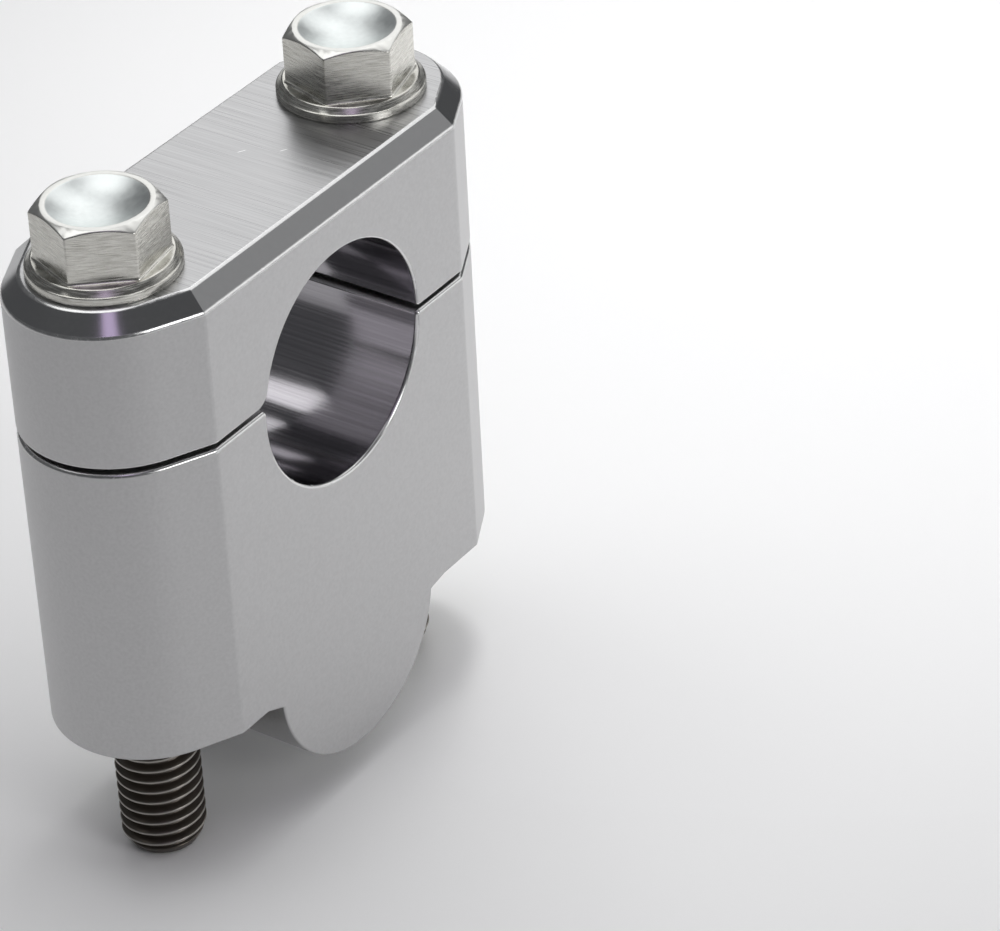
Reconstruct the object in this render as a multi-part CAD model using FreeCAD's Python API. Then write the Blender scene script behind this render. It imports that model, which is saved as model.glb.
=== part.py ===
# Motorcycle bar riser: a tall block with a half-round foot, a clamp cap and two long flange bolts.
# The foot takes the place of the bar in the machine's own lower clamp, and the bar moves up into the
# bore between block and cap. X runs along the block from the front bolt to the rear one, Y along the
# bar, Z up. The origin is the middle of the foot's axis, midway between the bolts. The bore and the
# block's outline sit a little further back than the foot. All sizes are in millimetres.
import FreeCAD, Part
import math
import os

from FreeCAD import Vector

# Bar and body
bar_diameter = 28.6
body_width = 26.0
end_radius = 11.55
end_facet_turn = 26.5
bore_wall = 2.1
front_end_wall = 6.1
rear_end_wall = 8.05
bore_height = 36.8
bore_setback = 1.0
crown_height = 21.0
top_chamfer = 2.2

# Stepped split between block and cap, measured from the bore's axis
split_gap = 0.7
front_split_rise = 1.95
rear_split_drop = 0.65
block_mouth_round = 0.6
cap_front_mouth_round = 2.2
cap_rear_mouth_round = 0.4

# Foot and the shoulders beside it, measured from the foot's axis. A short ramp joins each to the foot
foot_diameter = 29.6
rear_shoulder_drop = 1.95
front_ramp_reach = 17.6
front_ramp_drop = 1.2
rear_ramp_reach = 17.3
rear_ramp_drop = 0.5

# Edge roundings
block_edge_round = 0.5
cap_edge_round = 0.3

# Flange bolts
thread_diameter = 10.0
shank_diameter = 9.6
bolt_hole_clearance = 0.25
thread_reach = 19.2
thread_top_gap = 0.25
tip_chamfer = 1.1
tip_length = 1.9
hex_across_flats = 13.0
head_height = 8.1
flange_diameter = 17.2
flange_rim = 1.05
rim_round = 0.2
ledge_diameter = 15.8
ledge_height = 1.75
crown_ring_diameter = 12.6
crown_slope = 30.0
dish_diameter = 11.2
dish_depth = 1.7
front_hex_turn = 39.8
rear_hex_turn = 44.5

bore_radius = bar_diameter / 2
foot_radius = foot_diameter / 2
half_width = body_width / 2
thread_radius = thread_diameter / 2
shank_radius = shank_diameter / 2
hole_radius = thread_radius + bolt_hole_clearance
bolt_offset = bore_setback + bore_radius + bore_wall + hole_radius
front_end = -bolt_offset - hole_radius - front_end_wall
rear_end = bolt_offset + hole_radius + rear_end_wall
cap_top = bore_height + crown_height
cap_front_face = bore_height + front_split_rise + split_gap / 2
cap_rear_face = bore_height - rear_split_drop + split_gap / 2
block_front_face = cap_front_face - split_gap
block_rear_face = cap_rear_face - split_gap
bolt_length = cap_top + thread_reach
thread_length = thread_reach - rear_shoulder_drop - thread_top_gap

UP = Vector(0, 0, 1)
ALONG_BAR = Vector(0, 1, 0)


def end_points(side, inset):
    """Corner, joint and tip of one end seen from above and moved inwards, in the half where Y is above 0.

    A flat facet runs from the corner to the joint, and an arc from the joint round the tip.
    """
    turn = math.radians(end_facet_turn)
    tip = front_end if side < 0 else rear_end
    setback = end_radius + (half_width * math.cos(turn) - end_radius) / math.sin(turn)
    corner_x = tip - side * (setback + inset * math.tan(turn / 2))
    centre_x = tip - side * end_radius
    arc_radius = end_radius - inset
    joint = (centre_x + side * arc_radius * math.sin(turn), arc_radius * math.cos(turn))
    return (corner_x, half_width - inset), joint, (centre_x + side * arc_radius, 0)


def plan_wire(inset, height):
    """Body outline seen from above, moved inwards: two straight sides and two faceted, rounded ends."""
    high = [Vector(x, y, height) for side in (-1, 1) for x, y in end_points(side, inset)]
    low = [Vector(p.x, -p.y, height) for p in high]
    front_corner, front_joint, front_tip, rear_corner, rear_joint, rear_tip = range(6)
    return Part.Wire([
        Part.makeLine(low[front_corner], low[rear_corner]),
        Part.makeLine(low[rear_corner], low[rear_joint]),
        Part.Arc(low[rear_joint], low[rear_tip], high[rear_joint]).toShape(),
        Part.makeLine(high[rear_joint], high[rear_corner]),
        Part.makeLine(high[rear_corner], high[front_corner]),
        Part.makeLine(high[front_corner], high[front_joint]),
        Part.Arc(high[front_joint], low[front_tip], low[front_joint]).toShape(),
        Part.makeLine(low[front_joint], low[front_corner]),
    ])


def plan_prism(low, high):
    """Body with upright walls between two heights."""
    return Part.Face(plan_wire(0, low)).extrude(UP * (high - low))


def chamfered_prism(low, high):
    """Body with upright walls whose walls lean in at the top to form the chamfer."""
    lean_start = high - top_chamfer
    crown = Part.makeLoft([plan_wire(0, lean_start), plan_wire(top_chamfer, high)], True, True)
    return plan_prism(low, lean_start).fuse(crown)


def side_profile(corners, arcs):
    """Slab across the full width: straight runs from corner to corner, with an arc where one is named."""
    edges = []
    for index, (x, z) in enumerate(corners):
        next_x, next_z = corners[(index + 1) % len(corners)]
        start = Vector(x, -half_width, z)
        end = Vector(next_x, -half_width, next_z)
        if index in arcs:
            middle_x, middle_z = arcs[index]
            middle = Vector(middle_x, -half_width, middle_z)
            edges.append(Part.Arc(start, middle, end).toShape())
        else:
            edges.append(Part.makeLine(start, end))
    return Part.Face(Part.Wire(edges)).extrude(ALONG_BAR * body_width)


def bore_point(side, height):
    """Point of the side profile on the bore's wall, on the front (-1) or rear (1) side."""
    reach = math.sqrt(bore_radius ** 2 - (height - bore_height) ** 2)
    return bore_setback + side * reach, height


def foot_point(side, height):
    """Point of the side profile on the foot's wall, on the front (-1) or rear (1) side."""
    return side * math.sqrt(foot_radius ** 2 - height ** 2), height


def rounded(slab, corner, radius):
    """The slab with its edge at one corner of the side profile rounded."""
    x, z = corner
    found = []
    for edge in slab.Edges:
        ends = [vertex.Point for vertex in edge.Vertexes]
        if all(abs(p.x - x) < 1e-3 and abs(p.z - z) < 1e-3 for p in ends):
            found.append(edge)
    return slab.makeFillet(radius, found)


def on_wall(point):
    """Whether a point lies on the body's upright walls."""
    outline = plan_wire(0, point.z)
    return outline.distToShape(Part.Vertex(point))[0] < 1e-3


def wall_edges(solid, keep):
    """Edges that run round the body's walls and pass a test on their middle point."""
    found = []
    for edge in solid.Edges:
        first, last = edge.ParameterRange
        halfway = (first + last) / 2
        middle = edge.valueAt(halfway)
        upright = abs(edge.tangentAt(halfway).z) > 0.999
        if on_wall(middle) and not upright and keep(middle):
            found.append(edge)
    return found


def bolt_holes(low, high):
    """Clearance holes for the two bolts."""
    holes = [
        Part.makeCylinder(hole_radius, high - low, Vector(side * bolt_offset, 0, low), UP)
        for side in (-1, 1)
    ]
    return holes[0].fuse(holes[1])


def make_riser_block():
    """Tall block: stepped split faces and the bore's lower half above, half-round foot below."""
    rear_lip = bore_point(1, block_rear_face)
    front_lip = bore_point(-1, block_front_face)
    corners = [
        (front_end, 0),
        (-front_ramp_reach, 0),
        foot_point(-1, -front_ramp_drop),
        foot_point(1, -rear_shoulder_drop - rear_ramp_drop),
        (rear_ramp_reach, -rear_shoulder_drop),
        (rear_end, -rear_shoulder_drop),
        (rear_end, block_rear_face),
        rear_lip,
        front_lip,
        (front_end, block_front_face),
    ]
    arcs = {2: (0, -foot_radius), 7: (bore_setback, bore_height - bore_radius)}
    slab = side_profile(corners, arcs)
    slab = rounded(slab, rear_lip, block_mouth_round)
    slab = rounded(slab, front_lip, block_mouth_round)
    block = slab.common(plan_prism(-foot_radius, cap_top))
    top_edges = wall_edges(block, lambda p: p.z > bore_height - bore_radius - 1)
    block = block.makeFillet(block_edge_round, top_edges)
    return block.cut(bolt_holes(-foot_radius, cap_top))


def make_clamp_cap():
    """Clamp cap: the bore's upper half, stepped split faces and a chamfer all round its top."""
    front_lip = bore_point(-1, cap_front_face)
    rear_lip = bore_point(1, cap_rear_face)
    corners = [
        (front_end, cap_front_face),
        front_lip,
        rear_lip,
        (rear_end, cap_rear_face),
        (rear_end, cap_top),
        (front_end, cap_top),
    ]
    arcs = {1: (bore_setback, bore_height + bore_radius)}
    slab = side_profile(corners, arcs)
    slab = rounded(slab, front_lip, cap_front_mouth_round)
    slab = rounded(slab, rear_lip, cap_rear_mouth_round)
    cap = slab.common(chamfered_prism(0, cap_top))
    low_edges = wall_edges(cap, lambda p: p.z < cap_top - top_chamfer - 1e-3)
    cap = cap.makeFillet(cap_edge_round, low_edges)
    return cap.cut(bolt_holes(0, cap_top))


def turned(points):
    """Solid turned about the Z axis from its half section, given as radius and height."""
    wire = Part.makePolygon([Vector(r, 0, z) for r, z in points + points[:1]])
    return Part.Face(wire).revolve(Vector(0, 0, 0), UP, 360)


def make_bolt(x, hex_turn):
    """Long flange bolt: dished and chamfered hex head, sloping flange, shank, thread and tapered tip.

    The threads are plain cylinders of their outer size, which start just below the block.
    """
    corner_radius = hex_across_flats / math.sqrt(3)
    crown_radius = crown_ring_diameter / 2
    corner_drop = (corner_radius - crown_radius) * math.tan(math.radians(crown_slope))
    flange_radius = flange_diameter / 2
    ledge_radius = ledge_diameter / 2
    angles = [math.radians(hex_turn + 30 + 60 * k) for k in range(7)]
    hex_points = [
        Vector(corner_radius * math.cos(a), corner_radius * math.sin(a), 0) for a in angles
    ]
    hexagon = Part.Face(Part.makePolygon(hex_points)).extrude(UP * head_height)
    blank = turned([
        (0, 0),
        (corner_radius, 0),
        (corner_radius, head_height - corner_drop),
        (crown_radius, head_height),
        (0, head_height),
    ])
    dish_radius = dish_diameter / 2
    ball_radius = (dish_radius ** 2 + dish_depth ** 2) / (2 * dish_depth)
    ball = Part.makeSphere(ball_radius, Vector(0, 0, head_height - dish_depth + ball_radius))
    thread_top = thread_length - bolt_length
    turned_part = turned([
        (0, -bolt_length),
        (thread_radius - tip_chamfer, -bolt_length),
        (thread_radius, -bolt_length + tip_length),
        (thread_radius, thread_top),
        (shank_radius, thread_top + thread_radius - shank_radius),
        (shank_radius, 0),
        (flange_radius, 0),
        (flange_radius, flange_rim - rim_round),
        (flange_radius - rim_round, flange_rim),
        (ledge_radius, ledge_height),
        (0, ledge_height),
    ])
    bolt = hexagon.common(blank).cut(ball).fuse(turned_part).removeSplitter()
    bolt.translate(Vector(x, 0, cap_top))
    return bolt


parts = {
    "riser_block": make_riser_block(),
    "clamp_cap": make_clamp_cap(),
    "front_bolt": make_bolt(-bolt_offset, front_hex_turn),
    "rear_bolt": make_bolt(bolt_offset, rear_hex_turn),
}

os.makedirs("parts", exist_ok=True)
for name, shape in parts.items():
    solid = shape.Solids[0]
    solid.exportStep(f"parts/{name}.step")
    print(name, "solids", len(shape.Solids), "valid", shape.isValid(), "volume", round(solid.Volume, 1))
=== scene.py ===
import math

import bmesh
import bpy
import numpy as np
from mathutils import Matrix, Vector


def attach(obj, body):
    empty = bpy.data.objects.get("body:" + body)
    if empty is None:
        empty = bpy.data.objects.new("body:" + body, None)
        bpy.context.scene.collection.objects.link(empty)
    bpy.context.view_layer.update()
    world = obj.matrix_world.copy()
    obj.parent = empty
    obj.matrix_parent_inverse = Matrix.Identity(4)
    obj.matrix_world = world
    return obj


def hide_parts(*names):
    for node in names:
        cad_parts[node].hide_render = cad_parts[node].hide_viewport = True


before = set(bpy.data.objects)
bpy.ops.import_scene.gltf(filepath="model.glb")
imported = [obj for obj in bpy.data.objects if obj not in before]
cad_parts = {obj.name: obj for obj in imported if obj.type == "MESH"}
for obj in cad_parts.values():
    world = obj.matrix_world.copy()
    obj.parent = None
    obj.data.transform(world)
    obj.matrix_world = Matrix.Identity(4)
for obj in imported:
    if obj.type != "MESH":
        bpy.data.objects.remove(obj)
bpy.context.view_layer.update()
scene = bpy.context.scene
MM = 0.001

# Riser block: solid aluminium, milled as one side profile across the width and cut to bowed ends, with
# satin sides and a smooth half bore; its upper edge roundings get a lighter copy of the metal, a painted
# highlight. It stands on its half-round foot, and both bolts pass through it.
HALF_WIDTH = 13.0
END_RADIUS = 11.55
FACET_TURN = math.radians(26.5)
FRONT_END = -34.0
REAR_END = 35.95
CURVED_END = 30.0
BORE = (1.0, 36.8, 14.3)
FOOT = (0.0, 0.0, 14.8)
SHOULDERS = (0.0, -1.95)
RAMP_REACHES = (17.6, 17.3)
RAMP_DROPS = (1.2, 0.5)
BLOCK_FACES = (38.4, 35.8)
BLOCK_MOUTHS = (0.6, 0.6)
BLOCK_TOP_ROUND = 0.5
BLOCK_FOOT_ROUND = 0.25
BETWEEN_FOOT_AND_BORE = 20.0
BOLT_X = 22.65
HOLE_RADIUS = 5.25
HOLE_SIDES = 64
CUTTER_LENGTH = 200.0
CUTTER_HEIGHT = 20.0
LARGEST_ROUND = 0.5
ARC_ERROR = 0.0035
END_STEPS = 40
FACET_STEPS = 4
ROUND_STEPS = 8
WELD = 0.001
SLIVER = 0.003
EDGE_TURN = 20.0
SMOOTH_TURN = 12.0
HOLE_MARGIN = 0.1
BORE_MARGIN = 0.05
BORE_MOUTH = 0.3
LEVEL = 0.97
UPRIGHT = 0.1
GRAIN_DEPTH = 0.05


def node_material(name, colour, roughness, metallic=1.0):
    """New material with a principled surface, and its node tree, shader and object coordinates."""
    material = bpy.data.materials.new(name)
    material.use_nodes = True
    tree = material.node_tree
    shader = tree.nodes["Principled BSDF"]
    shader.inputs["Base Color"].default_value = (*colour, 1)
    shader.inputs["Roughness"].default_value = roughness
    shader.inputs["Metallic"].default_value = metallic
    place = tree.nodes.new("ShaderNodeTexCoord")
    return material, tree, shader, place.outputs["Object"]


def stretched_noise(tree, place, scale):
    """Noise value whose grain has its own fineness along each axis, in cycles per metre."""
    mapping = tree.nodes.new("ShaderNodeMapping")
    mapping.inputs["Scale"].default_value = scale
    noise = tree.nodes.new("ShaderNodeTexNoise")
    noise.inputs["Scale"].default_value = 1
    noise.inputs["Detail"].default_value = 3
    tree.links.new(place, mapping.inputs["Vector"])
    tree.links.new(mapping.outputs["Vector"], noise.inputs["Vector"])
    return noise.outputs["Fac"]


def remap(tree, value, low, high, low_in=0.3, high_in=0.7):
    """The value moved from one range to another, held inside it."""
    node = tree.nodes.new("ShaderNodeMapRange")
    node.inputs["From Min"].default_value = low_in
    node.inputs["From Max"].default_value = high_in
    node.inputs["To Min"].default_value = low
    node.inputs["To Max"].default_value = high
    tree.links.new(value, node.inputs["Value"])
    return node.outputs["Result"]


def mixed_colour(tree, factor, first, second):
    """Colour between two, by a factor socket. The first is a colour or a socket."""
    node = tree.nodes.new("ShaderNodeMix")
    node.data_type = "RGBA"
    if isinstance(first, tuple):
        node.inputs["A"].default_value = (*first, 1)
    else:
        tree.links.new(first, node.inputs["A"])
    node.inputs["B"].default_value = (*second, 1)
    tree.links.new(factor, node.inputs["Factor"])
    return node.outputs["Result"]


def grained_metal(name, dark, light, rough, grain, relief=0.0):
    """Metal with one grain that changes its tone, its gloss and its relief."""
    material, tree, shader, place = node_material(name, light, rough[0])
    fine = stretched_noise(tree, place, grain)
    tone = mixed_colour(tree, remap(tree, fine, 0, 1), dark, light)
    tree.links.new(tone, shader.inputs["Base Color"])
    tree.links.new(remap(tree, fine, *rough), shader.inputs["Roughness"])
    if relief:
        bump = tree.nodes.new("ShaderNodeBump")
        bump.inputs["Strength"].default_value = relief
        bump.inputs["Distance"].default_value = GRAIN_DEPTH * MM
        tree.links.new(fine, bump.inputs["Height"])
        tree.links.new(bump.outputs["Normal"], shader.inputs["Normal"])
    return material


satin = grained_metal(
    "satin", dark=(0.485, 0.483, 0.486), light=(0.535, 0.533, 0.536),
    rough=(0.34, 0.40), grain=(2500, 2500, 2500), relief=0.05,
)
bored = grained_metal(
    "bore", dark=(0.38, 0.365, 0.39), light=(0.50, 0.485, 0.51),
    rough=(0.1, 0.17), grain=(4000, 40, 4000), relief=0.06,
)
# Lighter copy of the metal laid on edge roundings: a painted highlight along the edges.
edge_highlight = grained_metal(
    "edge_painted_highlight", dark=(0.66, 0.66, 0.66), light=(0.76, 0.76, 0.76),
    rough=(0.2, 0.28), grain=(1500, 1500, 1500),
)


def arc_points(centre, radius, start, stop):
    """Points along a circle from one angle to another, both ends included."""
    step = 2 * math.acos(1 - ARC_ERROR / radius)
    count = max(4, round(abs(stop - start) / step))
    angles = np.linspace(start, stop, count + 1)
    return [(centre[0] + radius * math.cos(a), centre[1] + radius * math.sin(a)) for a in angles]


def nearest_turn(angle, target):
    """The angle moved by whole turns until it lies within half a turn of the target."""
    while angle - target > math.pi:
        angle -= 2 * math.pi
    while target - angle > math.pi:
        angle += 2 * math.pi
    return angle


def corner_round(side, plane, circle, radius, above):
    """Rounding between a level plane and the outside of a circle, listed from plane to circle.

    side is -1 at the front and 1 at the rear; above says whether its centre lies over the plane.
    """
    centre_x, centre_z, circle_radius = circle
    z = plane + radius if above else plane - radius
    x = centre_x + side * math.sqrt((circle_radius + radius) ** 2 - (z - centre_z) ** 2)
    start = -math.pi / 2 if above else math.pi / 2
    stop = nearest_turn(math.atan2(centre_z - z, centre_x - x), start)
    return arc_points((x, z), radius, start, stop)


def between(first, last, circle, through):
    """Points on a circle between two of its points, by way of an angle."""
    centre_x, centre_z, radius = circle
    start = nearest_turn(math.atan2(first[1] - centre_z, first[0] - centre_x), through)
    stop = nearest_turn(math.atan2(last[1] - centre_z, last[0] - centre_x), through)
    return arc_points((centre_x, centre_z), radius, start, stop)[1:-1]


def half_bore(faces, mouths, above, through):
    """Front rounding, half the bore and rear rounding in one run, between the two split faces."""
    front = corner_round(-1, faces[0], BORE, mouths[0], above)
    rear = corner_round(1, faces[1], BORE, mouths[1], above)
    return front + between(front[-1], rear[-1], BORE, through) + rear[::-1]


def foot_profile():
    """Ramp down from the front shoulder, the foot's arc, and the ramp up to the rear shoulder."""
    radius = FOOT[2]
    depths = [drop - shoulder for drop, shoulder in zip(RAMP_DROPS, SHOULDERS)]
    front = (-math.sqrt(radius ** 2 - depths[0] ** 2), -depths[0])
    rear = (math.sqrt(radius ** 2 - depths[1] ** 2), -depths[1])
    arc = [front] + between(front, rear, FOOT, -math.pi / 2) + [rear]
    return [(-RAMP_REACHES[0], SHOULDERS[0])] + arc + [(RAMP_REACHES[1], SHOULDERS[1])]


def end_outline(side, inset=0.0):
    """Plan points of one end, from the low Y corner by facet, arc and facet to the high Y corner."""
    half = HALF_WIDTH - inset
    radius = END_RADIUS - inset
    tip = FRONT_END if side < 0 else REAR_END
    centre = tip - side * END_RADIUS
    setback = END_RADIUS + (HALF_WIDTH * math.cos(FACET_TURN) - END_RADIUS) / math.sin(FACET_TURN)
    corner = tip - side * (setback + inset * math.tan(FACET_TURN / 2))
    angles = np.linspace(0, math.pi / 2 - FACET_TURN, END_STEPS // 2 + 1)
    arc = [(centre + side * radius * math.cos(a), radius * math.sin(a)) for a in angles]
    joint = arc[-1]
    shares = np.linspace(0, 1, FACET_STEPS + 1)[1:]
    facet = [(joint[0] + (corner - joint[0]) * s, joint[1] + (half - joint[1]) * s) for s in shares]
    high = arc + facet
    return [(x, -y) for x, y in high[:0:-1]] + high


def lifted(points, z):
    """Plan points at one height."""
    return [(x, y, z) for x, y in points]


def chamfer_faces(outlines, foot, chamfer):
    """Sloping band round the top and the level top inside it."""
    front, rear = outlines
    outer = lifted(front[::-1], foot) + lifted(rear, foot)
    inner_ends = end_outline(-1, chamfer)[::-1] + end_outline(1, chamfer)
    inner = lifted(inner_ends, foot + chamfer)
    faces = []
    for k in range(len(outer)):
        n = (k + 1) % len(outer)
        faces.append([outer[k], outer[n], inner[n], inner[k]])
    return faces + [inner]


def body_faces(low_run, low_ends, high_run, high_ends, chamfer=0.0):
    """Polygons of a body between an underside and a top side, each a run of profile points from front
    to rear, with the height of each at the two ends."""
    front, rear = end_outline(-1), end_outline(1)
    front_x, rear_x = front[0][0], rear[0][0]
    profile = [(front_x, low_ends[0])] + low_run + [(rear_x, low_ends[1])]
    profile += [(rear_x, high_ends[1])] + high_run[::-1] + [(front_x, high_ends[0])]
    faces = [[(x, y, z) for x, z in profile] for y in (-HALF_WIDTH, HALF_WIDTH)]
    for run, ends in ((low_run, low_ends), (high_run, high_ends)):
        for (x0, z0), (x1, z1) in zip(run, run[1:]):
            near_side = [(x0, -HALF_WIDTH, z0), (x1, -HALF_WIDTH, z1)]
            faces.append(near_side + [(x1, HALF_WIDTH, z1), (x0, HALF_WIDTH, z0)])
        if run:
            for outline, point, z in ((front, run[0], ends[0]), (rear, run[-1], ends[1])):
                edge = [(point[0], HALF_WIDTH, z), (point[0], -HALF_WIDTH, z)]
                faces.append(edge + lifted(outline, z))
    for outline, low, high in zip((front, rear), low_ends, high_ends):
        for a, b in zip(outline, outline[1:]):
            faces.append([(*a, low), (*b, low), (*b, high), (*a, high)])
    if chamfer:
        faces += chamfer_faces((front, rear), high_ends[0], chamfer)
    return faces


def solid_object(name, faces):
    """Closed mesh object from polygons given by their corner points."""
    mesh = bpy.data.meshes.new(name)
    shell = bmesh.new()
    for face in faces:
        shell.faces.new([shell.verts.new(Vector(p) * MM) for p in face])
    bmesh.ops.remove_doubles(shell, verts=shell.verts, dist=WELD * MM)
    bmesh.ops.recalc_face_normals(shell, faces=shell.faces)
    shell.to_mesh(mesh)
    shell.free()
    made = bpy.data.objects.new(name, mesh)
    scene.collection.objects.link(made)
    return made


def apply_modifiers(made):
    """Works the object's modifiers into its mesh and removes them."""
    bpy.context.view_layer.update()
    graph = bpy.context.evaluated_depsgraph_get()
    result = bpy.data.meshes.new_from_object(made.evaluated_get(graph), depsgraph=graph)
    made.modifiers.clear()
    made.data = result
    made.data.name = made.name


def drill(made):
    """Cuts the two bolt holes through a body."""
    bpy.ops.mesh.primitive_cylinder_add(
        vertices=HOLE_SIDES, radius=HOLE_RADIUS * MM, depth=CUTTER_LENGTH * MM
    )
    cutter = bpy.context.object
    for x in (-BOLT_X, BOLT_X):
        cutter.location = (x * MM, 0, CUTTER_HEIGHT * MM)
        cut = made.modifiers.new("hole", "BOOLEAN")
        cut.operation = "DIFFERENCE"
        cut.solver = "EXACT"
        cut.object = cutter
        apply_modifiers(made)
    bpy.data.objects.remove(cutter)


def round_edges(made, width_of):
    """Rounds the sharp edges by the width that width_of gives for an edge's middle."""
    shell = bmesh.new()
    shell.from_mesh(made.data)
    weight = shell.edges.layers.float.new("bevel_weight_edge")
    for edge in shell.edges:
        if len(edge.link_faces) == 2 and edge.calc_face_angle(0) > math.radians(EDGE_TURN):
            middle = (edge.verts[0].co + edge.verts[1].co) / 2 / MM
            edge[weight] = width_of(middle) / LARGEST_ROUND
    shell.to_mesh(made.data)
    shell.free()
    bevel = made.modifiers.new("round", "BEVEL")
    bevel.limit_method = "WEIGHT"
    bevel.width = LARGEST_ROUND * MM
    bevel.segments = ROUND_STEPS
    bevel.use_clamp_overlap = False
    apply_modifiers(made)
    shell = bmesh.new()
    shell.from_mesh(made.data)
    bmesh.ops.remove_doubles(shell, verts=shell.verts, dist=SLIVER * MM)
    bmesh.ops.dissolve_degenerate(shell, edges=shell.edges, dist=WELD * MM)
    shell.to_mesh(made.data)
    shell.free()


def smooth_faces(made, sharp_turn):
    """Smooth shading that keeps flat faces flat and breaks at edges that turn by more than an angle."""
    made.data.shade_smooth()
    made.data.set_sharp_from_angle(angle=math.radians(sharp_turn))
    weighted = made.modifiers.new("flat", "WEIGHTED_NORMAL")
    weighted.keep_sharp = True
    weighted.weight = 100
    apply_modifiers(made)


def paint(made, materials, choose):
    """Gives each polygon the material that choose names for its middle and normal."""
    made.data.materials.clear()
    for material in materials:
        made.data.materials.append(material)
    for polygon in made.data.polygons:
        chosen = choose(polygon.center / MM, polygon.normal)
        polygon.material_index = materials.index(chosen)


def near_hole(p):
    """Whether a place is in a bolt hole or on its rim, which stays sharp."""
    return math.hypot(abs(p.x) - BOLT_X, p.y) < HOLE_RADIUS + HOLE_MARGIN


def in_bore(p):
    """Whether a place is on the wall of the bore, short of its rounded mouths."""
    away = math.hypot(p.x - BORE[0], p.z - BORE[1])
    return away < BORE[2] + BORE_MARGIN and abs(p.y) < HALF_WIDTH - BORE_MOUTH


def on_slope(p, normal):
    """Whether a polygon slopes at a long side or round an end, as edge roundings and chamfers do."""
    sloping = UPRIGHT < abs(normal.z) < LEVEL
    return sloping and (abs(normal.y) > UPRIGHT or abs(p.x) > CURVED_END)


def block_round(p):
    """Width of the rounding on an edge of the block."""
    if near_hole(p):
        return 0
    return BLOCK_TOP_ROUND if p.z > BETWEEN_FOOT_AND_BORE else BLOCK_FOOT_ROUND


def block_material(p, normal):
    """Smooth in the bore, a painted highlight (lighter metal) on the upper roundings, and satin
    elsewhere.
    """
    if in_bore(p):
        return bored
    return edge_highlight if on_slope(p, normal) and p.z > BETWEEN_FOOT_AND_BORE else satin


block_bore = half_bore(BLOCK_FACES, BLOCK_MOUTHS, False, -math.pi / 2)
riser_block = solid_object(
    "riser_block_satin", body_faces(foot_profile(), SHOULDERS, block_bore, BLOCK_FACES)
)
drill(riser_block)
round_edges(riser_block, block_round)
smooth_faces(riser_block, SMOOTH_TURN)
# The block's upper edge roundings get the lighter metal, a painted highlight.
paint(riser_block, [satin, bored, edge_highlight], block_material)
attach(riser_block, "riser_block")
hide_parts("riser_block")

# Clamp cap: solid aluminium, milled with the upper half of the bore and a glossy chamfer round its top,
# which is brushed across and has two fine scratches. It sits a narrow split above the block, under the
# heads of both bolts.
CAP_TOP = 57.8
TOP_CHAMFER = 2.2
CAP_FACES = (39.1, 36.5)
CAP_MOUTHS = (2.2, 0.4)
CAP_ROUND = 0.3
TOP_SKIN = 0.02
CHAMFER_FOOT_MARGIN = 0.1
CHAMFER_SLOPES = (0.69, 0.725)
SCRATCHES = (((4.1, 2.4), (5.1, 1.8)), ((6.7, -1.6), (7.6, -2.1)))
SCRATCH_HALF_WIDTH = 0.07
SCRATCH_CORE = 0.6
SCRATCH_COLOUR = (0.98, 0.98, 0.98)

brushed = grained_metal(
    "brushed_top", dark=(0.44, 0.44, 0.445), light=(0.62, 0.62, 0.625),
    rough=(0.26, 0.36), grain=(6000, 50, 50), relief=0.12,
)
chamfered = grained_metal(
    "chamfer", dark=(0.52, 0.52, 0.525), light=(0.54, 0.54, 0.545),
    rough=(0.16, 0.18), grain=(2500, 2500, 2500), relief=0.01,
)


def add_scratches(material):
    """Bright straight marks on the level top."""
    tree = material.node_tree
    shader = tree.nodes["Principled BSDF"]
    place = next(node for node in tree.nodes if node.type == "TEX_COORD").outputs["Object"]

    def inside(direction, middle, half):
        """1 near the middle and 0 further off than half, along one direction."""
        shifted = tree.nodes.new("ShaderNodeVectorMath")
        shifted.operation = "SUBTRACT"
        shifted.inputs[1].default_value = middle * MM
        tree.links.new(place, shifted.inputs[0])
        along = tree.nodes.new("ShaderNodeVectorMath")
        along.operation = "DOT_PRODUCT"
        along.inputs[1].default_value = direction
        tree.links.new(shifted.outputs["Vector"], along.inputs[0])
        size = tree.nodes.new("ShaderNodeMath")
        size.operation = "ABSOLUTE"
        tree.links.new(along.outputs["Value"], size.inputs[0])
        return remap(tree, size.outputs["Value"], 1, 0, half * SCRATCH_CORE * MM, half * MM)

    for ends in SCRATCHES:
        start, stop = [Vector((*end, CAP_TOP)) for end in ends]
        direction = (stop - start).normalized()
        across = Vector((-direction.y, direction.x, 0))
        middle = (start + stop) / 2
        mark = tree.nodes.new("ShaderNodeMath")
        mark.operation = "MULTIPLY"
        tree.links.new(inside(direction, middle, (stop - start).length / 2), mark.inputs[0])
        tree.links.new(inside(across, middle, SCRATCH_HALF_WIDTH), mark.inputs[1])
        before = shader.inputs["Base Color"].links[0].from_socket
        tone = mixed_colour(tree, mark.outputs["Value"], before, SCRATCH_COLOUR)
        tree.links.new(tone, shader.inputs["Base Color"])


def cap_round(p):
    """Width of the rounding on an edge of the cap."""
    return 0 if near_hole(p) else CAP_ROUND


def cap_material(p, normal):
    """Smooth in the bore, a painted highlight (lighter metal) on roundings, brushed on top, glossy on
    the chamfer, else satin.
    """
    if in_bore(p):
        return bored
    if on_slope(p, normal) and not CHAMFER_SLOPES[0] < normal.z < CHAMFER_SLOPES[1]:
        return edge_highlight
    if p.z > CAP_TOP - TOP_SKIN:
        return brushed
    return chamfered if p.z > CAP_TOP - TOP_CHAMFER + CHAMFER_FOOT_MARGIN else satin


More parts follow.
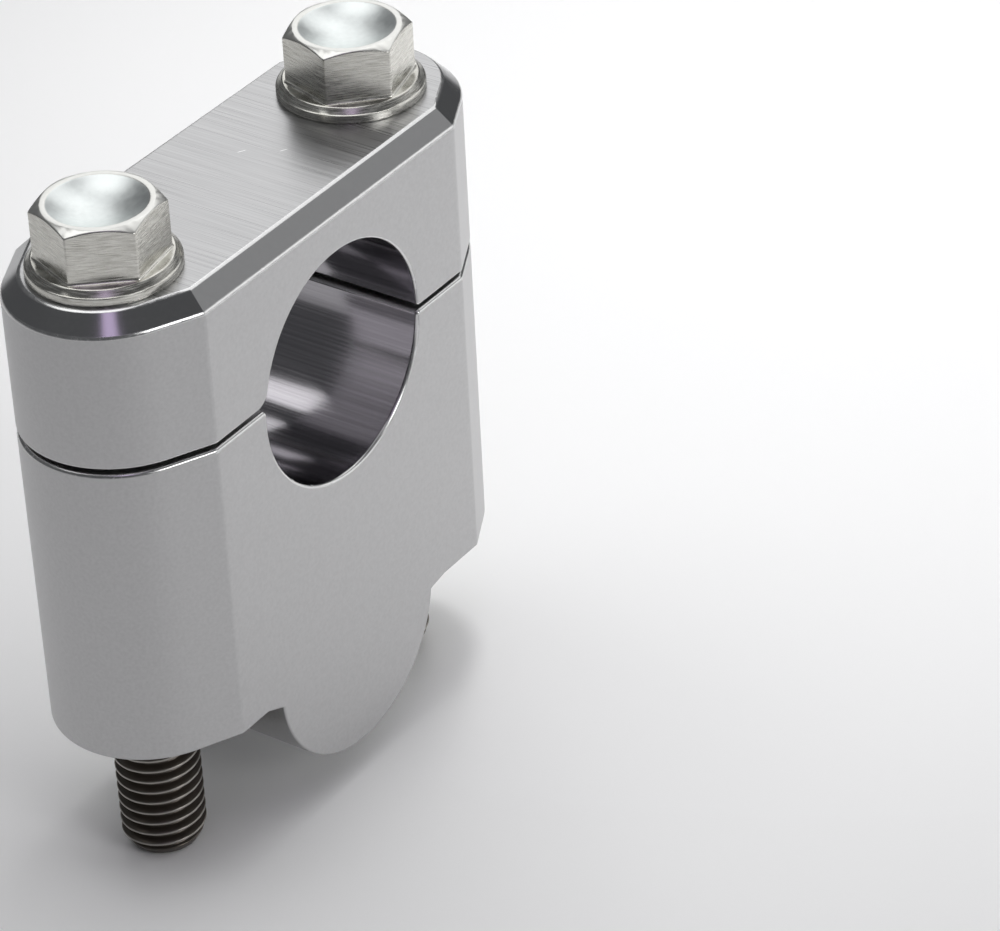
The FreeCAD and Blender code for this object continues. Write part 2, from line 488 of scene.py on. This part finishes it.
cap_bore = half_bore(CAP_FACES, CAP_MOUTHS, True, math.pi / 2)
chamfer_feet = (CAP_TOP - TOP_CHAMFER, CAP_TOP - TOP_CHAMFER)
clamp_cap = solid_object(
    "clamp_cap_satin", body_faces(cap_bore, CAP_FACES, [], chamfer_feet, TOP_CHAMFER)
)
drill(clamp_cap)
round_edges(clamp_cap, cap_round)
smooth_faces(clamp_cap, SMOOTH_TURN)
# The cap's edge roundings get the lighter metal, a painted highlight.
paint(clamp_cap, [satin, brushed, chamfered, bored, edge_highlight], cap_material)
add_scratches(brushed)
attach(clamp_cap, "clamp_cap")
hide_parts("clamp_cap")

# Flange bolts: two long steel bolts with bright hexagon heads, dished on top, over conical flanges. The
# threads are rolled and dark, with a lighter band painted on their crests as a highlight. Each goes down
# through cap and block, and its tip comes out below.
HEX_HALF = 6.5
HEX_ROUND = 0.3
HEX_FLAT_STEPS = 12
FRONT_HEX_TURN = 39.8
REAR_HEX_TURN = 44.5
HEAD_TOP = 8.1
DISH_RADIUS = 5.6
DISH_DEPTH = 1.7
DISH_RINGS = 16
DISH_SHARES = (0.06, 0.97)
RING_RADIUS = 6.3
CROWN_SLOPE = math.tan(math.radians(30))
CROWN_LAND = 0.14
LEDGE_HEIGHT = 1.75
LEDGE_RADIUS = 7.9
LEDGE_ROUND = 0.35
LEDGE_SETBACK = 0.24
LEDGE_TILT = 50.0
FILLET_CLEARANCE = 0.25
TURN_STEPS = 5
FILLET_WIDTH = 0.3
FILLET_HEIGHT = 0.45
FLANGE_RADIUS = 8.6
FLANGE_RIM = 1.05
SHANK_RADIUS = 4.8
NECK_ROUND = 0.3
HEAD_SMOOTH_TURN = 30.0
CROWN_LEVEL = 0.6
ABOVE_LEDGE = 1.0

# Small roundings of a head, as steps outwards and upwards from the edge that each is on
DISH_LIP = ((-0.04, -0.04), (0.06, -0.005), (0.2, 0.0))
RING_LIP = ((-0.2, 0.0), (-0.03, -0.015))
CROWN_LIP = ((-0.05, 0.0), (0.0, -0.12))
FLANGE_LIP = ((-0.25, 0.06), (-0.08, -0.03), (0.0, -0.2))
FLANGE_FOOT = ((0.0, 0.12), (-0.1, 0.0))

THREAD_BOTTOM = -19.2
THREAD_TOP = 8.0
THREAD_ROWS = 300
THREAD_SIDES = 72
CREST_RADIUS = 5.0
ROOT_RADIUS = 4.1
PITCH = 1.5
ROOT_SHARE = 0.22
FLANK_SHARE = 0.62
TIP_RADIUS = 3.9
TIP_LENGTH = 1.9
RUN_OUT = 3.0
POLE_REACH = 0.01
# Thread colours: a dark thread, with a lighter band painted on the crests as a highlight.
CREST_HIGHLIGHT_FROM = 4.9
DARK_THREAD_COLOUR = (0.1, 0.09, 0.08)
ROOT_COLOUR = (0.13, 0.115, 0.10)
CREST_HIGHLIGHT_COLOUR = (0.42, 0.40, 0.37)
THREAD_ROUGHNESS = 0.35

bright = grained_metal(
    "bright_steel", dark=(0.46, 0.45, 0.41), light=(0.86, 0.85, 0.80),
    rough=(0.2, 0.34), grain=(500, 500, 9000), relief=0.12,
)
# Paler copies of the steel for the up-facing crown and dish: a painted highlight. The dish's slight cyan
# tint is its own.
crowned = grained_metal(
    "crown_painted_highlight", dark=(0.78, 0.78, 0.75), light=(0.84, 0.84, 0.81),
    rough=(0.3, 0.34), grain=(1500, 1500, 1500),
)
dished = grained_metal(
    "dish_painted_highlight", dark=(0.84, 0.88, 0.87), light=(0.92, 0.96, 0.95),
    rough=(0.36, 0.42), grain=(1500, 1500, 1500),
)


def thread_material():
    """Dark thread with a lighter band on its crests, a painted highlight, told apart by distance from
    the axis.
    """
    material, tree, shader, place = node_material("thread", DARK_THREAD_COLOUR, THREAD_ROUGHNESS)
    parts = tree.nodes.new("ShaderNodeSeparateXYZ")
    tree.links.new(place, parts.inputs["Vector"])
    away = tree.nodes.new("ShaderNodeMath")
    away.operation = "ABSOLUTE"
    tree.links.new(parts.outputs["X"], away.inputs[0])
    across = tree.nodes.new("ShaderNodeMath")
    across.operation = "SUBTRACT"
    across.inputs[1].default_value = BOLT_X * MM
    tree.links.new(away.outputs["Value"], across.inputs[0])
    joined = tree.nodes.new("ShaderNodeCombineXYZ")
    tree.links.new(across.outputs["Value"], joined.inputs["X"])
    tree.links.new(parts.outputs["Y"], joined.inputs["Y"])
    length = tree.nodes.new("ShaderNodeVectorMath")
    length.operation = "LENGTH"
    tree.links.new(joined.outputs["Vector"], length.inputs[0])
    # Painted highlight: lighter colour towards the crest radius.
    crest_highlight = remap(tree, length.outputs["Value"], 0, 1, CREST_HIGHLIGHT_FROM * MM, CREST_RADIUS * MM)
    tone = mixed_colour(tree, crest_highlight, ROOT_COLOUR, CREST_HIGHLIGHT_COLOUR)
    tree.links.new(tone, shader.inputs["Base Color"])
    return material


def hex_outline(turn):
    """Angles and radii of a hexagon with rounded corners, turned by an angle in degrees."""
    corner_reach = (HEX_HALF - HEX_ROUND) / math.cos(math.pi / 6)
    points = []
    for side in range(6):
        middle = math.radians(turn + 30 + 60 * side)
        centre = Vector((math.cos(middle), math.sin(middle))) * corner_reach
        for step in np.radians(np.linspace(-30, 30, TURN_STEPS)):
            reach = Vector((math.cos(middle + step), math.sin(middle + step)))
            points.append(centre + reach * HEX_ROUND)
        next_middle = middle + math.pi / 3
        next_centre = Vector((math.cos(next_middle), math.sin(next_middle))) * corner_reach
        flat = middle + math.pi / 6
        flat_step = Vector((math.cos(flat), math.sin(flat))) * HEX_ROUND
        for share in np.linspace(0, 1, HEX_FLAT_STEPS)[1:-1]:
            points.append(centre.lerp(next_centre, share) + flat_step)
    return np.array(sorted((math.atan2(p.y, p.x), p.length) for p in points)).T


def stepped(radius, height, steps):
    """Rings at small steps outwards and upwards from an edge."""
    return [(radius + out, height + up) for out, up in steps]


def head_rings(hexagon):
    """Radius and height of each ring of a bolt, from the middle of the dish to the shank's end."""
    ball = (DISH_RADIUS ** 2 + DISH_DEPTH ** 2) / (2 * DISH_DEPTH)
    rings = []
    for r in DISH_RADIUS * np.linspace(*DISH_SHARES, DISH_RINGS):
        rings.append((r, HEAD_TOP - DISH_DEPTH + ball - math.sqrt(ball ** 2 - r ** 2)))
    rings += stepped(DISH_RADIUS, HEAD_TOP, DISH_LIP)
    rings += stepped(RING_RADIUS, HEAD_TOP, RING_LIP)
    edge = HEAD_TOP - (hexagon - RING_RADIUS) * CROWN_SLOPE
    rings.append((hexagon - CROWN_LAND, edge + CROWN_LAND * CROWN_SLOPE))
    rings += stepped(hexagon, edge, CROWN_LIP)
    spread = np.minimum(FILLET_WIDTH, LEDGE_RADIUS - FILLET_CLEARANCE - hexagon)
    for turned in np.radians(np.linspace(0, 90, TURN_STEPS)):
        rise = FILLET_HEIGHT * (1 - math.sin(turned))
        rings.append((hexagon + spread * (1 - math.cos(turned)), LEDGE_HEIGHT + rise))
    for tilt in np.radians(np.linspace(0, LEDGE_TILT, TURN_STEPS)):
        drop = LEDGE_ROUND * (1 - math.cos(tilt))
        reach = LEDGE_RADIUS - LEDGE_SETBACK + LEDGE_ROUND * math.sin(tilt)
        rings.append((reach, LEDGE_HEIGHT - drop))
    rings += stepped(FLANGE_RADIUS, FLANGE_RIM, FLANGE_LIP)
    rings += stepped(FLANGE_RADIUS, 0.0, FLANGE_FOOT)
    rings += [(SHANK_RADIUS + NECK_ROUND, 0.0), (SHANK_RADIUS, -NECK_ROUND)]
    rings.append((SHANK_RADIUS, THREAD_TOP - CAP_TOP))
    return rings


def head_object(name, x, turn):
    """Bolt head and plain shank: rings laid one below the other, some round and some hexagonal."""
    angles, hexagon = hex_outline(turn)
    count = len(angles)
    points = [(x, 0.0, CAP_TOP + HEAD_TOP - DISH_DEPTH)]
    for r, z in head_rings(hexagon):
        r, z = np.broadcast_to(r, count), np.broadcast_to(z, count)
        points += np.c_[x + r * np.cos(angles), r * np.sin(angles), CAP_TOP + z].tolist()
    faces = [(0, 1 + k, 1 + (k + 1) % count) for k in range(count)]
    last = len(points) - count
    for low in range(1, last, count):
        for k in range(count):
            n = (k + 1) % count
            faces.append((low + k, low + count + k, low + count + n, low + n))
    points.append((x, 0.0, THREAD_TOP))
    faces += [(last + k, last + count, last + (k + 1) % count) for k in range(count)]
    mesh = bpy.data.meshes.new(name)
    mesh.from_pydata([Vector(p) * MM for p in points], [], faces)
    made = bpy.data.objects.new(name, mesh)
    scene.collection.objects.link(made)

    def head_material(p, normal):
        """Paler steel on the up-facing dish and crown, a painted highlight, with the dish's own slight
        cyan tint; grained bright steel elsewhere.
        """
        if normal.z < CROWN_LEVEL or p.z < CAP_TOP + LEDGE_HEIGHT + ABOVE_LEDGE:
            return bright
        return dished if math.hypot(p.x - x, p.y) < DISH_RADIUS else crowned

    smooth_faces(made, HEAD_SMOOTH_TURN)
    paint(made, [bright, dished, crowned], head_material)
    return made


def thread_tree():
    """Geometry nodes for a rolled thread: a grid wrapped round the bolt's axis, with a helical ridge
    that tapers at the tip and runs out into the shank."""
    tree = bpy.data.node_groups.new("screw_thread", "GeometryNodeTree")
    for name, default in (
        ("Axis X", 0.0), ("Crest Radius", CREST_RADIUS), ("Root Radius", ROOT_RADIUS),
        ("Pitch", PITCH), ("Bottom", THREAD_BOTTOM), ("Length", THREAD_TOP - THREAD_BOTTOM),
        ("Tip Radius", TIP_RADIUS), ("Tip Length", TIP_LENGTH),
        ("Shank Radius", SHANK_RADIUS), ("Run Out", RUN_OUT),
    ):
        socket = tree.interface.new_socket(name, in_out="INPUT", socket_type="NodeSocketFloat")
        socket.default_value = default
    tree.interface.new_socket("Material", in_out="INPUT", socket_type="NodeSocketMaterial")
    tree.interface.new_socket("Geometry", in_out="OUTPUT", socket_type="NodeSocketGeometry")
    given = tree.nodes.new("NodeGroupInput").outputs

    def calc(operation, *values):
        """One sum of numbers and sockets."""
        node = tree.nodes.new("ShaderNodeMath")
        node.operation = operation
        for socket, value in zip(node.inputs, values):
            if isinstance(value, (int, float)):
                socket.default_value = value
            else:
                tree.links.new(value, socket)
        return node.outputs["Value"]

    def held(value):
        """The value held between 0 and 1."""
        return calc("MINIMUM", calc("MAXIMUM", value, 0.0), 1.0)

    grid = tree.nodes.new("GeometryNodeMeshGrid")
    grid.inputs["Size X"].default_value = 2 * math.pi
    grid.inputs["Vertices X"].default_value = THREAD_SIDES + 1
    grid.inputs["Vertices Y"].default_value = THREAD_ROWS
    tree.links.new(given["Length"], grid.inputs["Size Y"])
    where = tree.nodes.new("ShaderNodeSeparateXYZ")
    position = tree.nodes.new("GeometryNodeInputPosition")
    tree.links.new(position.outputs["Position"], where.inputs["Vector"])
    angle = where.outputs["X"]
    rise = calc("ADD", where.outputs["Y"], calc("MULTIPLY", given["Length"], 0.5))
    height = calc("ADD", rise, given["Bottom"])
    pitches = calc("DIVIDE", height, given["Pitch"])
    phase = calc("FRACT", calc("SUBTRACT", pitches, calc("DIVIDE", angle, 2 * math.pi)))
    ridge = calc("ABSOLUTE", calc("SUBTRACT", calc("MULTIPLY", phase, 2.0), 1.0))
    ridge = held(calc("DIVIDE", calc("SUBTRACT", ridge, ROOT_SHARE), FLANK_SHARE))
    depth = calc("SUBTRACT", given["Crest Radius"], given["Root Radius"])
    radius = calc("ADD", given["Root Radius"], calc("MULTIPLY", ridge, depth))
    tip_growth = calc("SUBTRACT", given["Crest Radius"], given["Tip Radius"])
    tip_growth = calc("DIVIDE", tip_growth, given["Tip Length"])
    tip = calc("ADD", given["Tip Radius"], calc("MULTIPLY", rise, tip_growth))
    radius = calc("MINIMUM", radius, tip)
    share = held(calc("DIVIDE", calc("SUBTRACT", given["Length"], rise), given["Run Out"]))
    plain = calc("MULTIPLY", given["Shank Radius"], calc("SUBTRACT", 1.0, share))
    radius = calc("ADD", calc("MULTIPLY", radius, share), plain)
    above_pole = calc("GREATER_THAN", rise, POLE_REACH)
    below_pole = calc("LESS_THAN", rise, calc("SUBTRACT", given["Length"], POLE_REACH))
    radius = calc("MULTIPLY", radius, calc("MULTIPLY", above_pole, below_pole))
    place = tree.nodes.new("ShaderNodeCombineXYZ")
    across = calc("MULTIPLY", radius, calc("COSINE", angle))
    tree.links.new(calc("ADD", given["Axis X"], across), place.inputs["X"])
    tree.links.new(calc("MULTIPLY", radius, calc("SINE", angle)), place.inputs["Y"])
    tree.links.new(height, place.inputs["Z"])
    metres = tree.nodes.new("ShaderNodeVectorMath")
    metres.operation = "SCALE"
    metres.inputs["Scale"].default_value = MM
    tree.links.new(place.outputs["Vector"], metres.inputs[0])
    wrap = tree.nodes.new("GeometryNodeSetPosition")
    tree.links.new(grid.outputs["Mesh"], wrap.inputs["Geometry"])
    tree.links.new(metres.outputs["Vector"], wrap.inputs["Position"])
    weld = tree.nodes.new("GeometryNodeMergeByDistance")
    weld.inputs["Distance"].default_value = WELD * MM
    tree.links.new(wrap.outputs["Geometry"], weld.inputs["Geometry"])
    realize = tree.nodes.new("GeometryNodeRealizeInstances")
    tree.links.new(weld.outputs["Geometry"], realize.inputs["Geometry"])
    coat = tree.nodes.new("GeometryNodeSetMaterial")
    tree.links.new(realize.outputs["Geometry"], coat.inputs["Geometry"])
    tree.links.new(given["Material"], coat.inputs["Material"])
    out = tree.nodes.new("NodeGroupOutput")
    tree.links.new(coat.outputs["Geometry"], out.inputs["Geometry"])
    return tree


def thread_object(name, x):
    """Threaded end of one bolt. The grid is a row longer than the thread, to close it in the shank."""
    made = bpy.data.objects.new(name, bpy.data.meshes.new(name))
    scene.collection.objects.link(made)
    modifier = made.modifiers.new("thread", "NODES")
    modifier.node_group = threads
    length = (THREAD_TOP - THREAD_BOTTOM) * (THREAD_ROWS - 1) / (THREAD_ROWS - 2)
    wanted = {"Axis X": x, "Bottom": THREAD_BOTTOM, "Length": length, "Material": dark_thread}
    for item in threads.interface.items_tree:
        if item.name in wanted and item.in_out == "INPUT":
            modifier[item.identifier] = wanted[item.name]
    apply_modifiers(made)
    shell = bmesh.new()
    shell.from_mesh(made.data)
    bmesh.ops.recalc_face_normals(shell, faces=shell.faces)
    shell.to_mesh(made.data)
    shell.free()
    made.data.shade_smooth()
    return made


threads = thread_tree()
dark_thread = thread_material()
for node, x, turn in (("front_bolt", -BOLT_X, FRONT_HEX_TURN), ("rear_bolt", BOLT_X, REAR_HEX_TURN)):
    head = head_object(node + "_head", x, turn)
    screw = thread_object(node + "_thread", x)
    for made in (head, screw):
        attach(made, node)
    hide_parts(node)

# Floor: a pale matt sheet, level, just under the tips of the bolts. It belongs to the studio and isn't a
# piece of the part.
FLOOR_SIZE = 6000.0
FLOOR_GAP = 0.3
FLOOR_COLOUR = (0.96, 0.96, 0.96)
FLOOR_ROUGHNESS = 0.6
FLOOR_SHINE = 0.1

floor_paint, _, floor_shader, _ = node_material("floor", FLOOR_COLOUR, FLOOR_ROUGHNESS, 0.0)
floor_shader.inputs["Specular IOR Level"].default_value = FLOOR_SHINE
floor_height = (THREAD_BOTTOM - FLOOR_GAP) * MM
bpy.ops.mesh.primitive_plane_add(size=FLOOR_SIZE * MM, location=(0, 0, floor_height))
floor = bpy.context.object
floor.name = "floor"
floor.data.materials.append(floor_paint)

# Lights: soft boxes that face the part and are mirrored in its metal, dim air round it all, and a wash
# and a pool that brighten the floor and aren't mirrored. Places and sizes of lights are in metres.
AIR_COLOUR = (0.9, 0.92, 0.95, 1)
AIR_STRENGTH = 0.11
AIM = Vector((0, 0, 0.02))
PURPLE = (0.84, 0.66, 1.0)
POOL_PLACE = (0.16, 0.02, 0.45)
POOL_POWER = 3.2
POOL_SPREAD = 50.0
POOL_SOFTNESS = 0.05

world = bpy.data.worlds.new("studio")
world.use_nodes = True
air = world.node_tree.nodes["Background"]
air.inputs["Color"].default_value = AIR_COLOUR
air.inputs["Strength"].default_value = AIR_STRENGTH
scene.world = world


def soft_box(name, direction, distance, size, power, colour=(1, 1, 1), mirrored=True):
    """Square or oblong light in a direction from the part, turned to face it."""
    data = bpy.data.lights.new(name, "AREA")
    data.shape = "RECTANGLE"
    data.size, data.size_y = size
    data.energy = power
    data.color = colour
    lamp = bpy.data.objects.new(name, data)
    scene.collection.objects.link(lamp)
    toward = Vector(direction).normalized()
    lamp.location = AIM + toward * distance
    lamp.rotation_mode = "QUATERNION"
    lamp.rotation_quaternion = toward.to_track_quat("Z", "Y")
    lamp.visible_camera = False
    lamp.visible_glossy = mirrored


soft_box("key", (0.64, -0.08, 0.765), 0.8, (0.5, 0.5), 0.85)
soft_box("wash", (0.15, -0.32, 0.9), 0.9, (0.6, 0.6), 1.2, mirrored=False)
soft_box("fill", (-0.1, -0.9, 0.43), 0.7, (0.25, 0.25), 0.8)
soft_box("streak", (-0.44, -0.32, 0.835), 0.9, (0.17, 0.3), 0.15, colour=PURPLE)
soft_box("overhead", (-0.08, 0.2, 0.98), 1.0, (0.6, 0.85), 2.3)
soft_box("back", (0.66, 0.48, 0.56), 1.0, (0.5, 1.08), 1.75)
soft_box("right", (0.677, -0.553, 0.486), 1.0, (0.5, 0.5), 0.22)
soft_box("low right", (0.7, -0.7, 0.17), 0.9, (0.9, 0.3), 0.95)

pool = bpy.data.lights.new("pool", "SPOT")
pool.energy = POOL_POWER
pool.spot_size = math.radians(POOL_SPREAD)
pool.spot_blend = 1.0
pool.shadow_soft_size = POOL_SOFTNESS
pool_lamp = bpy.data.objects.new("pool", pool)
scene.collection.objects.link(pool_lamp)
pool_lamp.location = POOL_PLACE
pool_lamp.visible_glossy = False

# Camera: the photograph's own viewing angle, solved from the corners and ends of the block and cap, the
# bore, the foot, and the bolts' flanges and a head's width. Everything in view is sharp.
CAMERA_PLACE = (-324.97, -267.72, 296.53)
CAMERA_RIGHT = (0.559421, -0.827776, -0.042837)
CAMERA_UP = (0.478892, 0.280595, 0.831823)
CAMERA_BACK = (-0.676543, -0.485854, 0.553386)
FOCAL_LENGTH = 157.34
SENSOR_WIDTH = 36
NEAREST_SEEN = 10.0
FARTHEST_SEEN = 20000.0

camera_data = bpy.data.cameras.new("camera")
camera_data.sensor_fit = "HORIZONTAL"
camera_data.sensor_width = SENSOR_WIDTH
camera_data.lens = FOCAL_LENGTH
camera_data.dof.use_dof = False
camera_data.clip_start = NEAREST_SEEN * MM
camera_data.clip_end = FARTHEST_SEEN * MM
camera = bpy.data.objects.new("camera", camera_data)
scene.collection.objects.link(camera)
camera_turn = Matrix((CAMERA_RIGHT, CAMERA_UP, CAMERA_BACK)).transposed().to_4x4()
camera.matrix_world = Matrix.Translation(Vector(CAMERA_PLACE) * MM) @ camera_turn
scene.camera = camera
scene.view_settings.view_transform = "Standard"
